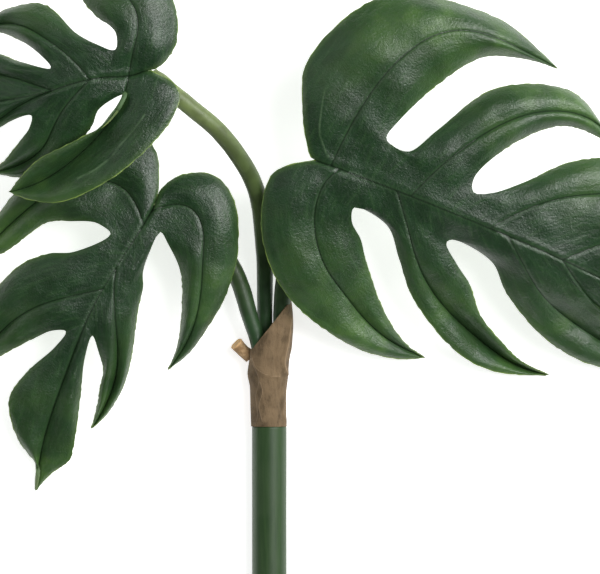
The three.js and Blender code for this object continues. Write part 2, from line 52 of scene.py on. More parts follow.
# Leaves. Each starts at its joint and runs along its axis, a heading in degrees from +X.
# veer: headings at even stations along a rib. The midrib's are measured from the axis, and a
# lobe's are measured from the axis away from the midrib, so that both sides read alike.
# heights: above the surface, at even stations along the rib.
# root: where a lobe's vein leaves the midrib, as a share of the midrib.
# near and far: (share of the vein, width to the margin), on the joint's side and the tip's side.
# bows: how far the near and far margins arch above a straight fall from slit to tip.
# slit: the bottom of the slit after the lobe, reached from a share of the midrib.
# side_veins: the few side veins that stand out, as flat lines.
RIGHT_LEAF = {
    "joint": (18.4, 107),
    "axis": -22.7,
    "length": 168,
    "veer": [3, 1, 0, -3, -1],
    "heights": [42, 44, 44, 44, 42, 38, 33, 27, 18],
    "side_veins": [[(22.6, 138), (20.8, 127), (20.4, 117), (23.8, 108)]],
    "left": [
        {
            "root": 0.047, "length": 121, "veer": [88, 79, 56, 4, -4],
            "heights": [43, 49, 53, 49, 36],
            "near": [(0, 9), (0.125, 20.5), (0.25, 28.3), (0.5, 23.5), (0.75, 8), (0.88, 4.4)],
            "far": [(0.17, 14.8), (0.25, 15.5), (0.5, 17.5), (0.75, 9), (0.88, 3)],
            "bows": (7, 4), "slit": {"at": 0.15, "reach": 16.4, "heading": 82, "height": 45},
        },
        {
            "root": 0.231, "length": 99, "veer": [70, 61, 46, 14, -34],
            "heights": [44, 49, 48, 43, 30],
            "near": [(0.12, 13), (0.25, 12), (0.5, 14.2), (0.75, 8.6)],
            "far": [(0.25, 12), (0.5, 8.9), (0.75, 5.6)],
            "bows": (6, 5), "slit": {"at": 0.37, "reach": 11.3, "heading": 76, "height": 43},
        },
        {
            "root": 0.435, "length": 75, "veer": [55, 44, 30, 22, 14],
            "heights": [44, 43.5, 41, 34, 27],
            "near": [(0.1, 11.9), (0.25, 10.4), (0.5, 14), (0.75, 13)], "far": [(0.8, 5)],
            "bows": (3, 0), "slit": {"at": 0.58, "reach": 34, "heading": 46, "height": 35},
        },
        {
            "root": 0.62, "length": 52, "veer": [45, 44, 30, 20, 12],
            "heights": [38, 37, 34, 29, 23],
            "near": [(0.8, 6)], "far": [(0.8, 4)],
            "bows": (1, 0), "slit": {"at": 0.74, "reach": 22, "heading": 30, "height": 28},
        },
        {"near": [(0.86, 9), (0.94, 5)], "bows": [0]},
    ],
    "right": [
        {
            "root": 0.056, "length": 99, "veer": [122, 90, 66, 49, 31, 29, 20, 6, 0],
            "heights": [43, 37.5, 28, 16, 6],
            "near": [
                (0.06, 11), (0.125, 20.6), (0.25, 21.4), (0.375, 20.4),
                (0.5, 18.2), (0.75, 11), (0.9, 5),
            ],
            "far": [(0.25, 15), (0.375, 17.4), (0.5, 15.6), (0.75, 7.4), (0.9, 2.2)],
            "bows": (4, 0), "slit": {"at": 0.12, "reach": 12.5, "heading": 77, "height": 38},
        },
        {
            "root": 0.195, "length": 103, "veer": [49, 52, 50, 37, 25, 18, 14, 2, -14],
            "heights": [43, 35, 22, 8, 1.2],
            "near": [
                (0.12, 7.6), (0.25, 6.6), (0.375, 7.9), (0.5, 8.9),
                (0.625, 9.8), (0.75, 8.5), (0.875, 3.8),
            ],
            "far": [(0.25, 13.4), (0.375, 14), (0.5, 13.4), (0.625, 7.6), (0.75, 5), (0.875, 2.2)],
            "bows": (4, 4), "slit": {"at": 0.355, "reach": 10, "heading": 76, "height": 34},
        },
        {
            "root": 0.465, "length": 77, "veer": [38, 36, 15, 8, 0],
            "heights": [42, 34, 22, 11, 2],
            "near": [(0.08, 10.4), (0.25, 11.4), (0.5, 12), (0.75, 11), (0.9, 7)], "far": [(0.85, 3)],
            "bows": (3, 0), "slit": {"at": 0.6, "reach": 34, "heading": 24, "height": 22},
        },
        {
            "root": 0.64, "length": 52, "veer": [34, 30, 20, 12, 6],
            "heights": [37, 31, 24, 17, 10],
            "near": [(0.85, 2.5)], "far": [(0.8, 4)],
            "bows": (0, 0), "slit": {"at": 0.75, "reach": 20, "heading": 18, "height": 22},
        },
        {"near": [(0.9, 7), (0.95, 4)], "bows": [0]},
    ],
}

LOWER_LEAF = {
    "joint": (-44.8, 91.2),
    "axis": -113,
    "length": 129,
    "veer": [-6, -10, 1, 4, 17],
    "heights": [30, 31, 30, 27, 22.5, 17.5, 11, 6, 1],
    "left": [
        {
            "root": 0.035, "length": 87, "veer": [140, 112, 50, 22, 20, 15, 4, -8, -16],
            "heights": [31, 32, 29, 21, 11],
            "near": [
                (0.06, 6), (0.125, 11.6), (0.19, 16.4), (0.25, 15.8), (0.375, 14),
                (0.5, 12.6), (0.625, 9.4), (0.75, 5.4), (0.875, 3.2),
            ],
            "far": [(0.375, 14.4), (0.5, 9), (0.625, 7.4), (0.75, 5.6), (0.875, 2.6)],
            "bows": (5, 2), "slit": {"at": 0.075, "reach": 7.4, "heading": 89, "height": 28.5},
        },
        {
            "root": 0.24, "length": 68, "veer": [13, 27, 23, 2, -12],
            "heights": [29, 26, 17, 8.5, 3],
            "near": [
                (-0.12, 12), (0, 10.8), (0.1, 11.6), (0.25, 9.6), (0.375, 7.7),
                (0.5, 6), (0.625, 4.7), (0.75, 3.6), (0.875, 2.4),
            ],
            "far": [(0.5, 7.6), (0.625, 5.3), (0.75, 4.8), (0.875, 2.6)],
            "bows": (2, 1), "slit": {"at": 0.44, "reach": 5.4, "heading": 55, "height": 21},
        },
        {"near": [(0.55, 5), (0.66, 8.5), (0.8, 12), (0.88, 12), (0.94, 5.4)], "bows": [1]},
    ],
    "right": [
        {
            "root": 0.09, "length": 89, "veer": [139, 125, 84, 56, 45, 30, 25, 22, 20],
            "heights": [31, 28.5, 25, 19, 13],
            "near": [
                (0.06, 7.4), (0.125, 12.8), (0.19, 20.8), (0.25, 22.4),
                (0.375, 17), (0.5, 12), (0.75, 7),
            ],
            "far": [(0.25, 17.5), (0.375, 16.5), (0.5, 13.6), (0.625, 9.4), (0.75, 8), (0.88, 6.4)],
            "bows": (4, 1.5), "slit": {"at": 0.17, "reach": 9.4, "heading": 107, "height": 29},
        },
        {
            "root": 0.3, "length": 70, "veer": [53, 53, 35, 15, 12],
            "heights": [28, 25, 19.5, 11, 5],
            "near": [(0.12, 17.2), (0.25, 18.8), (0.375, 18.4), (0.5, 15.4), (0.75, 9)],
            "far": [(0.375, 11.2), (0.5, 10.8), (0.75, 6.8)],
            "bows": (3, 2), "slit": {"at": 0.46, "reach": 8.3, "heading": 47, "height": 20},
        },
        {"near": [(0.55, 8), (0.66, 15.6), (0.75, 18.2), (0.85, 10.6), (0.93, 0)], "bows": [2]},
    ],
}

UPPER_LEAF = {
    "joint": (-48, 143.2),
    "axis": 191,
    "length": 92,
    "veer": [21, -8, -1, 7, 1, -3, -5, -3, -2],
    "heights": [58, 60.5, 61, 59.5, 56, 52, 46, 38, 28],
    "side_veins": [[(-49, 125), (-55, 117.6), (-62.4, 108.4)], [(-64, 106.8), (-69, 103), (-76, 99.6)]],
    "left": [
        {
            "root": 0.085, "length": 70, "veer": [70, 44, 32, 20, 0],
            "heights": [60, 56, 51.5, 49, 49],
            "near": [
                (0, 18.4), (0.05, 21.6), (0.125, 21.4), (0.25, 19.2),
                (0.5, 16), (0.75, 11.6), (0.88, 6.2),
            ],
            "far": [(0.3, 0.6), (0.5, 5), (0.75, 8), (0.88, 5.6)],
            "bows": (9, 5), "slit": {"at": 0.15, "reach": 8, "heading": 110, "height": 58},
        },
        {
            "root": 0.25, "length": 58, "veer": [34, 36, 41, 52, 51, 30, 14, 4, -6],
            "heights": [60.5, 56, 49.5, 42, 36],
            "near": [(0.1, 10.7), (0.25, 13), (0.5, 10), (0.75, 6)],
            "far": [(0.5, 8.6), (0.625, 8.6), (0.75, 7), (0.875, 3.4)],
            "bows": (1, 2.5), "slit": {"at": 0.36, "reach": 16.5, "heading": 31, "height": 51},
        },
        {
            "root": 0.41, "length": 46, "veer": [8, 16, 26, 36, 41],
            "heights": [57, 52, 46, 41, 35],
            "near": [(0.5, 3), (0.75, 2.6)], "far": [(0.75, 5)],
            "bows": (1, 0), "slit": {"at": 0.6, "reach": 15.5, "heading": 21, "height": 43},
        },
        {"near": [(0.82, 7), (0.92, 4)], "bows": [0]},
    ],
    "right": [
        {
            "root": 0.085, "length": 63, "veer": [110, 112, 66, 43, 35],
            "heights": [60, 64, 63, 55, 46],
            "near": [(0.06, 8), (0.125, 12.5), (0.25, 15.8), (0.375, 15.8), (0.5, 15), (0.75, 8)],
            "far": [(0.25, 8.4), (0.375, 12.2), (0.5, 14), (0.75, 13)],
            "bows": (6, 4), "slit": {"at": 0.17, "reach": 11.4, "heading": 118, "height": 60},
        },
        {
            "root": 0.235, "length": 63, "veer": [64, 50, 38, -2, -22],
            "heights": [61, 60.5, 56, 46, 37],
            "near": [(0.125, 11.4), (0.25, 9), (0.5, 11.4), (0.75, 4)],
            "far": [(0.25, 7.6), (0.375, 6.3), (0.5, 5.8), (0.75, 2.8)],
            "bows": (5, 3.5), "slit": {"at": 0.36, "reach": 8.8, "heading": 70, "height": 56},
        },
        {
            "root": 0.41, "length": 40, "veer": [30, 30, 24, 17, 12],
            "heights": [57, 53, 49, 43, 37],
            "near": [(0.4, 7), (0.62, 8), (0.8, 5)], "far": [(0.8, 4)],
            "bows": (1, 0), "slit": {"at": 0.6, "reach": 12.4, "heading": 40, "height": 44},
        },
        {"near": [(0.82, 7), (0.92, 4)], "bows": [0]},
    ],
}

STATIONS = 26  # places along the midrib where a vein or a slit can start
VEIN_ROWS = 10  # rows along a lobe's vein, before they are divided
FINENESS = 7  # divisions of each station and row
TIP_COLUMNS = 3  # across half of the leaf's own tip, before they are divided
CROWDING = 1.5  # above 1, the midrib's stations are closer near the joint
WALK_STEPS = 96

# The blades' relief, in millimetres. Pairs are (height or depth, width).
BLADE_THICKNESS = 2.4  # at the veins' ribs, thinner between them
BLADE_LIFT = 0.6  # from the middle of the blade to its top side
BLADE_PUFF = 2.6  # how far the blade swells between its veins
MARGIN_SPAN = 3  # relief fades out over this width along a margin
MIDRIB_GROOVE, MIDRIB_SHOULDER, MIDRIB_SHOULDER_AT = (0.75, 0.6), (0.25, 0.8), 1.8
VEIN_GROOVE, VEIN_SHOULDER, VEIN_SHOULDER_AT = (0.38, 0.45), (0.1, 0.7), 1.3
SIDE_VEIN = (0.25, 0.5)
BLISTERS, WRINKLES = (1.5, 18), (0.4, 7)
MARGIN_ROLL = (0.35, 1.1)  # the margin bends down
FRAYING, FRAYED_BAND, FIBRE_SIZE = 0.35, 0.8, 1.3
MERGE_GAP = 2e-6  # metres, for points that coincide


# --- Lines ------------------------------------------------------------------------------------
def between(values, share):
    """Smooth value between evenly spaced ones, at one share or at many."""
    values = np.asarray(values, float)
    last = len(values) - 1
    place = np.clip(share, 0, 1) * last
    low = np.floor(place).astype(int)
    part = place - low
    before, here, after, beyond = (values[np.clip(low + k, 0, last)] for k in (-1, 0, 1, 2))
    leave, arrive = (after - before) / 2, (beyond - here) / 2
    cubic = 2 * here - 2 * after + leave + arrive
    square = -3 * here + 3 * after - 2 * leave - arrive
    return ((cubic * part + square) * part + leave) * part + here


def smooth(points, per_span):
    """Smooth line through points, with the same number of steps in each span."""
    points = [np.asarray(p, float) for p in points]
    points = [2 * points[0] - points[1], *points, 2 * points[-1] - points[-2]]
    line = []
    for k in range(1, len(points) - 2):
        p0, p1, p2, p3 = points[k - 1 : k + 3]
        d0, d1, d2 = (max(np.linalg.norm(b - a), 1e-6) ** 0.5 for a, b in ((p0, p1), (p1, p2), (p2, p3)))
        leave = ((p1 - p0) / d0 - (p2 - p0) / (d0 + d1) + (p2 - p1) / d1) * d1
        arrive = ((p2 - p1) / d1 - (p3 - p1) / (d1 + d2) + (p3 - p2) / d2) * d1
        t = (np.arange(per_span) / per_span)[:, None]
        cubic = 2 * p1 - 2 * p2 + leave + arrive
        square = -3 * p1 + 3 * p2 - 2 * leave - arrive
        line.append(((cubic * t + square) * t + leave) * t + p1)
    return np.vstack([*line, points[-2][None]])


def lengths_along(line):
    return np.concatenate([[0], np.cumsum(np.linalg.norm(np.diff(line, axis=0), axis=1))])


def pick(line, shares):
    """Points at shares of a line's length."""
    lengths = lengths_along(line)
    return np.stack([np.interp(shares, lengths / lengths[-1], column) for column in line.T], 1)


def raised(line, height):
    """A flat line with heights, a function of the share of its length."""
    lengths = lengths_along(line)
    return np.column_stack([line, height(lengths / lengths[-1])])


def fall(start, end, bow):
    """Margin's height: a straight fall from slit to tip, arched by a bow."""
    return lambda share: start + (end - start) * share + bow * np.sin(np.pi * share)


def distance(points, starts, ends):
    """Distance from each point to the nearest of some segments, flat or in space."""
    p = points[:, None]
    a, b = starts[None], ends[None]
    along = b - a
    part = ((p - a) * along).sum(2) / np.maximum((along**2).sum(2), 1e-12)
    nearest = a + along * np.clip(part, 0, 1)[..., None]
    return np.sqrt(((p - nearest) ** 2).sum(2)).min(1)


def distance_to_line(points, line):
    return distance(points, line[:-1], line[1:])


def unevenness(points, size, seed):
    """Gentle noise from -1 to 1 at points in millimetres, with features about as big as size."""
    return np.array([noise.noise(Vector(p) / size + Vector((seed, 0, 0))) for p in points])


# --- Leaf shape -------------------------------------------------------------------------------
def walk(start, axis, side, rib):
    """Flat line that leaves a point and turns smoothly through its headings."""
    shares = (np.arange(WALK_STEPS) + 0.5) / WALK_STEPS
    heading = np.radians(axis + side * between(rib["veer"], shares))
    stride = rib["length"] / WALK_STEPS
    steps = np.column_stack([np.cos(heading), np.sin(heading)]) * stride
    return np.vstack([start, start + np.cumsum(steps, 0)])


def beside(line, share, width, hand):
    """Point at a share of a walked line, moved sideways: left of the way it runs when hand is 1."""
    place = share * (len(line) - 1)
    i = int(np.clip(math.floor(place), 0, len(line) - 2))
    along = line[i + 1] - line[i]
    across = np.array([-along[1], along[0]]) / np.linalg.norm(along)
    return line[i] + along * (place - i) + across * width * hand


def station(share):
    return math.floor(share ** (1 / CROWDING) * STATIONS + 0.5)


def margins(lobes, lines, midrib, axis, side):
    """Free margins of one side: for each lobe, from the slit (or the joint) out to its tip."""

    def edge(i, name, hand):
        return [beside(lines[i], share, width, hand) for share, width in lobes[i].get(name, [])]

    def tip_height(lobe):
        return lobe["heights"][-1] if "heights" in lobe else midrib[-1, 2]

    first = smooth([midrib[0, :2], *edge(0, "near", side), lines[0][-1]], 12)
    found = [{"near": raised(first, fall(midrib[0, 2], tip_height(lobes[0]), lobes[0]["bows"][0]))}]
    for i, lobe in enumerate(lobes[:-1]):
        slit, after = lobe["slit"], lobes[i + 1]
        root = midrib[FINENESS * station(slit["at"]), :2]
        angle = math.radians(axis + side * slit["heading"])
        bottom = root + slit["reach"] * np.array([math.cos(angle), math.sin(angle)])
        out = edge(i, "far", -side)[::-1]
        back = edge(i + 1, "near", side)
        line = smooth([lines[i][-1], *out, bottom, *back, lines[i + 1][-1]], 12)
        cut = 12 * (len(out) + 1)
        down, up = line[: cut + 1][::-1], line[cut:]
        found[i]["far"] = raised(down, fall(slit["height"], tip_height(lobe), lobe["bows"][1]))
        found.append({"near": raised(up, fall(slit["height"], tip_height(after), after["bows"][0]))})
    return found


def web_rows(lobes, edges, last_rows):
    """Rows along the web of each slit: its share of the whole way out to the tips beside it."""
    rows = []
    for i, lobe in enumerate(lobes[:-1]):
        reach = lobe["slit"]["reach"]
        ways = (lengths_along(edges[i]["far"])[-1], lengths_along(edges[i + 1]["near"])[-1])
        share = sum(reach / (reach + way) for way in ways) / 2
        most = (last_rows if i == len(lobes) - 2 else VEIN_ROWS) - 2
        rows.append(min(max(math.floor(share * VEIN_ROWS + 0.5), 1), max(most, 1)))
    return rows


def boundary(web_root, margin, web, rows):
    """Boundary of half a lobe: out along the web to the slit's bottom, then along the margin."""
    web_line = web_root + (margin[0] - web_root) * np.linspace(0, 1, web + 1)[:, None]
    return np.vstack([web_line, pick(margin, np.linspace(0, 1, rows - web + 1))[1:]])


def puff(rows, shares, web):
    """How much the blade swells at each row along the vein and share across, up to the boundary."""
    row = np.arange(rows + 1)[:, None] / FINENESS
    web, rows = web / FINENESS, rows / FINENESS
    rise = np.minimum(row / max(web, 2), 1) * np.minimum((rows - row) / 3, 1)
    beyond = np.clip((row - web) / 3, 0, 1) if web else np.ones_like(row)
    crest = (1 - beyond) * np.sin(shares * np.pi / 2) + beyond * np.sin(shares * np.pi)
    return BLADE_PUFF * np.sin(rise * np.pi / 2) * crest


def crowded(share):
    """Moves columns towards the vein and the margin, where the shape changes fastest."""
    return share - 0.6 * np.sin(2 * np.pi * share) / (2 * np.pi)


def half_lobe(vein, edge, roots, web):
    """Points and flat map of half a lobe, between its vein and its boundary."""
    reach = np.linalg.norm(roots - roots[0], axis=1)
    even = np.linspace(0, 1, len(roots))
    shares = reach / reach[-1] if reach[-1] > 0 else even
    rows = len(vein) - 1
    settle = np.minimum(np.arange(rows + 1) / FINENESS, 1)[:, None]
    shares = (1 - settle) * shares + settle * crowded(shares)
    grid = vein[:, None] * (1 - shares[..., None]) + edge[:, None] * shares[..., None]
    grid[..., 2] += puff(rows, shares, web)
    grid[0] = roots
    width = np.linalg.norm(edge - vein, axis=1)[:, None]
    along = np.broadcast_to(lengths_along(vein)[:, None], shares.shape)
    return grid, np.stack([along, shares * width], 2)


def ridge(away, height, width):
    return height * np.exp(-((away / width) ** 2))


def carve(points, veins, side_veins, midrib, rims, seed):
    """Heights of the fine shape at points, and their distances to a vein, a margin and a side vein."""
    to_midrib = distance_to_line(points, midrib)
    to_vein = np.min([distance_to_line(points, vein) for vein in veins], axis=0)
    to_rim = distance(points, rims[0], rims[1])
    reach = np.linalg.norm(points[:, :2] - midrib[0, :2], axis=1)
    taper = 1 - 0.7 * np.clip(reach / lengths_along(midrib)[-1], 0, 1)
    open_edge = np.clip(to_rim / MARGIN_SPAN, 0, 1)
    height = -ridge(to_midrib, *MIDRIB_GROOVE) * taper
    height -= ridge(to_vein, *VEIN_GROOVE) * (0.3 + 0.7 * taper) * open_edge
    height += ridge(to_midrib - MIDRIB_SHOULDER_AT, *MIDRIB_SHOULDER) * taper
    height += ridge(to_vein - VEIN_SHOULDER_AT, *VEIN_SHOULDER) * open_edge
    blisters = BLISTERS[0] * unevenness(points, BLISTERS[1], seed)
    wrinkles = WRINKLES[0] * unevenness(points, WRINKLES[1], seed + 9)
    height += (blisters + wrinkles) * open_edge
    height -= ridge(to_rim, *MARGIN_ROLL)
    far_away = 9.0
    to_side = np.full(len(points), far_away)
    for line in side_veins:
        to_side = np.minimum(to_side, distance_to_line(points[:, :2], smooth(line, 8)))
    height += ridge(to_side, *SIDE_VEIN)
    return height, np.minimum(to_midrib * 0.75, to_vein), to_rim, to_side


# --- Blender steps ----------------------------------------------------------------------------
def deselect():
    if bpy.context.object and bpy.context.object.mode != "OBJECT":
        bpy.ops.object.mode_set(mode="OBJECT")
    bpy.ops.object.select_all(action="DESELECT")


def only(obj):
    deselect()
    obj.select_set(True)
    bpy.context.view_layer.objects.active = obj
    return obj


def added(name):
    """The primitive that was just added, under its own name."""
    obj = bpy.context.object
    obj.name = name
    obj.data.name = name
    return obj


def edit(obj, mode="VERT"):
    only(obj)
    bpy.ops.object.mode_set(mode="EDIT")
    bpy.ops.mesh.select_mode(type=mode)
    bpy.ops.mesh.select_all(action="SELECT")


def done():
    bpy.ops.object.mode_set(mode="OBJECT")


def apply(obj, modifier):
    only(obj)
    bpy.ops.object.modifier_apply(modifier=modifier.name)


def smoothed(obj, degrees):
    """Smooth shading, apart from edges sharper than an angle."""
    only(obj)
    bpy.ops.object.shade_smooth_by_angle(angle=math.radians(degrees))


def joined(objects, name):
    deselect()
    for obj in objects:
        obj.select_set(True)
    bpy.context.view_layer.objects.active = objects[0]
    bpy.ops.object.join()
    return added(name)


def coordinates(obj):
    flat = np.zeros(len(obj.data.vertices) * 3, np.float32)
    obj.data.vertices.foreach_get("co", flat)
    return flat.reshape(-1, 3).astype(float)


def reshape(obj, points):
    obj.data.vertices.foreach_set("co", np.asarray(points, np.float32).ravel())
    obj.data.update()


def placed(points):
    """Millimetres from the sheath's foot, as metres in the frame."""
    return np.asarray(points, float) * MM + ORIGIN


def measured(obj):
    """An object's points in millimetres from the sheath's foot."""
    return (coordinates(obj) - ORIGIN) / MM


def mark(obj, name, values):
    attribute = obj.data.attributes.new(name, "FLOAT", "POINT")
    attribute.data.foreach_set("value", np.asarray(values, np.float32).ravel())


def finished(piece, materials, nodes):
    """The last steps of each piece: its finish, its body, the frame piece it stands for."""
    for material in materials:
        piece.data.materials.append(material)
    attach(piece, "root")
    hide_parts(*nodes)
    return piece


# --- Blades -----------------------------------------------------------------------------------
def patch(name, grid, flat, flip):
    """A grid primitive, its points moved to half a lobe's shape."""
    rows, columns = grid.shape[0] - 1, grid.shape[1] - 1
    deselect()
    bpy.ops.mesh.primitive_grid_add(x_subdivisions=columns, y_subdivisions=rows, size=1, location=(0, 0, 0))
    obj = added(name)
    reshape(obj, placed(grid.reshape(-1, 3)))
    corners = np.zeros(len(obj.data.loops), int)
    obj.data.loops.foreach_get("vertex_index", corners)
    uv = flat.reshape(-1, 2)[corners] / 100
    obj.data.uv_layers.active.data.foreach_set("uv", uv.astype(np.float32).ravel())
    if flip:
        edit(obj)
        bpy.ops.mesh.flip_normals()
        done()
    return obj


def side_halves(leaf, midrib, side):
    """Half lobes of one side of a leaf, its veins and its free margins."""
    lobes = leaf["left" if side > 0 else "right"]
    lines = []
    for lobe in lobes:
        if "slit" in lobe:
            lines.append(walk(midrib[FINENESS * station(lobe["root"]), :2], leaf["axis"], side, lobe))
        else:
            lines.append(walk(midrib[0, :2], leaf["axis"], 1, leaf))
    edges = margins(lobes, lines, midrib, leaf["axis"], side)
    last_slit = station(lobes[-2]["slit"]["at"])
    webs = web_rows(lobes, edges, STATIONS - last_slit)
    rows = VEIN_ROWS * FINENESS
    even = np.linspace(0, 1, rows + 1)
    halves, veins = [], []
    for i, lobe in enumerate(lobes[:-1]):
        root = FINENESS * station(lobe["root"])
        near_slit = FINENESS * station(lobes[i - 1]["slit"]["at"]) if i else 0
        far_slit = FINENESS * station(lobe["slit"]["at"])
        vein = pick(raised(lines[i], lambda share, lobe=lobe: between(lobe["heights"], share)), even)
        vein[0] = midrib[root]
        veins.append(vein)
        near_web, far_web = FINENESS * webs[i - 1] if i else 0, FINENESS * webs[i]
        if i:
            near = boundary(midrib[near_slit], edges[i]["near"], near_web, rows)
        else:
            near = pick(edges[i]["near"], even)
        far = boundary(midrib[far_slit], edges[i]["far"], far_web, rows)
        halves.append((vein, near, midrib[near_slit : root + 1][::-1], near_web, side))
        halves.append((vein, far, midrib[root : far_slit + 1], far_web, -side))
    vein = midrib[FINENESS * last_slit :]
    web = FINENESS * webs[-1]
    tip = boundary(vein[0], edges[-1]["near"], web, len(vein) - 1)
    point = np.repeat(vein[:1], TIP_COLUMNS * FINENESS + 1, 0)
    halves.append((vein, tip, point, web, side))
    return halves, veins, [line for pair in edges for line in pair.values()]


def blade_patches(leaf, midrib, seed):
    """Patches of a whole leaf, with one fine shape over both of its sides."""
    sides = [side_halves(leaf, midrib, side) for side in (1, -1)]
    halves, veins, free = (sides[0][k] + sides[1][k] for k in range(3))
    rims = np.vstack([line[:-1] for line in free]), np.vstack([line[1:] for line in free])
    patches = []
    for k, (vein, edge, roots, web, hand) in enumerate(halves):
        grid, flat = half_lobe(vein, edge, roots, web)
        points = grid.reshape(-1, 3)
        side_veins = leaf.get("side_veins", [])
        height, to_vein, to_rim, to_side = carve(points, veins, side_veins, midrib, rims, seed)
        frayed = np.clip(1 - to_rim / FRAYED_BAND, 0, 1)[:, None]
        fibres = np.column_stack([unevenness(points, FIBRE_SIZE, seed + shift) for shift in (20, 30)])
        points[:, :2] += FRAYING * frayed * fibres
        points[:, 2] += height + BLADE_LIFT
        obj = patch(f"patch_{k}", grid, flat, hand > 0)
        mark(obj, "to_vein", to_vein)
        mark(obj, "to_rim", to_rim)
        mark(obj, "to_side", to_side)
        mark(obj, "outward", np.clip(flat[..., 0] / 100, 0, 1))
        patches.append(obj)
    return patches


def blade(name, node_name, leaf, finishes, seed):
    """A leaf's blade: patches joined along its veins, then given a body, a ridge and thin edges."""
    start = np.array(leaf["joint"], float)
    stations = np.linspace(0, 1, STATIONS * FINENESS + 1) ** CROWDING
    line = raised(walk(start, leaf["axis"], 1, leaf), lambda share: between(leaf["heights"], share))
    midrib = pick(line, stations)
    obj = joined(blade_patches(leaf, midrib, seed), name)
    edit(obj)
    bpy.ops.mesh.remove_doubles(threshold=MERGE_GAP)
    done()
    body = obj.vertex_groups.new(name="body")
    to_vein = np.zeros(len(obj.data.vertices), np.float32)
    to_rim = to_vein.copy()
    obj.data.attributes["to_vein"].data.foreach_get("value", to_vein)
    obj.data.attributes["to_rim"].data.foreach_get("value", to_rim)
    to_midrib = distance_to_line(measured(obj)[:, :2], midrib[:, :2])
    away = np.linalg.norm(measured(obj)[:, :2] - midrib[0, :2], axis=1) / leaf["length"]
    edge, between_veins, vein_rib, midrib_rib = 0.2, 0.28, (0.16, 1.0), (0.5, 1.3)
    weight = edge + between_veins * np.clip(to_rim / 2.5, 0, 1)
    weight += ridge(to_vein, *vein_rib) * np.clip(to_rim / MARGIN_SPAN, 0, 1)
    weight += ridge(to_midrib, *midrib_rib) * np.clip(1 - away, 0, 1)
    for index, value in enumerate(np.clip(weight, 0, 1)):
        body.add([index], float(value), "REPLACE")
    wall = obj.modifiers.new("body", "SOLIDIFY")
    wall.thickness = BLADE_THICKNESS * MM
    wall.offset = -1
    wall.vertex_group = "body"
    wall.use_quality_normals = True
    wall.material_offset = 1
    wall.material_offset_rim = 2
    for finish in finishes:
        obj.data.materials.append(finish)
    apply(obj, wall)
    smoothed(obj, 55)
    obj.vertex_groups.clear()
    return finished(obj, [], [node_name])


# --- Round pieces -----------------------------------------------------------------------------
def swept(name, route, radius, steps, sides=5):
    """A round rod along a smooth route, its radius a function of the share of its length."""
    line = placed(pick(smooth(route, 24), np.linspace(0, 1, steps + 1)))
    deselect()
    bpy.ops.curve.primitive_nurbs_path_add(location=(0, 0, 0))
    obj = added(name)
    curve = obj.data
    curve.splines.clear()
    spline = curve.splines.new("POLY")
    spline.points.add(steps)
    for k, point in enumerate(line):
        spline.points[k].co = (*point, 1)
        spline.points[k].radius = float(radius(k / steps))
    curve.dimensions = "3D"
    curve.twist_mode = "MINIMUM"
    curve.bevel_depth = MM
    curve.bevel_resolution = sides
    curve.use_fill_caps = True
    only(obj)
    bpy.ops.object.convert(target="MESH")
    edit(obj)
    bpy.ops.mesh.remove_doubles(threshold=1e-6)
    bpy.ops.mesh.normals_make_consistent(inside=False)
    done()
    return added(name)


def smoothstep(low, high, value):
    t = min(max((value - low) / (high - low), 0), 1)
    return t * t * (3 - 2 * t)


def petiole(name, node_name, route, material, seed):
    """A petiole: narrow in the sheath, with a swollen knuckle under the blade."""
    foot_radius, radius_gain, knuckle_height, end_taper = 3.1, 0.4, 0.45, 1.1
    stops = 400

    def radius(share):
        girth = foot_radius + radius_gain * smoothstep(0.15, 0.4, share)
        knuckle = ridge(share - 0.955, knuckle_height, 0.022)
        return girth + knuckle - end_taper * smoothstep(0.972, 1, share)

    obj = swept(name, route, radius, 130, 9)
    points = measured(obj)
    middle = pick(smooth(route, 24), np.linspace(0, 1, stops))
    nearest = ((points[:, None] - middle[None]) ** 2).sum(2).argmin(1)
    mark(obj, "along", nearest / (stops - 1))
    out = points - middle[nearest]
    out /= np.maximum(np.linalg.norm(out, axis=1), 1e-6)[:, None]
    points += out * (0.09 * unevenness(points, 6, seed) + 0.05 * unevenness(points, 1.6, seed + 3))[:, None]
    reshape(obj, placed(points))
    smoothed(obj, 50)
    return finished(obj, [material], [node_name])


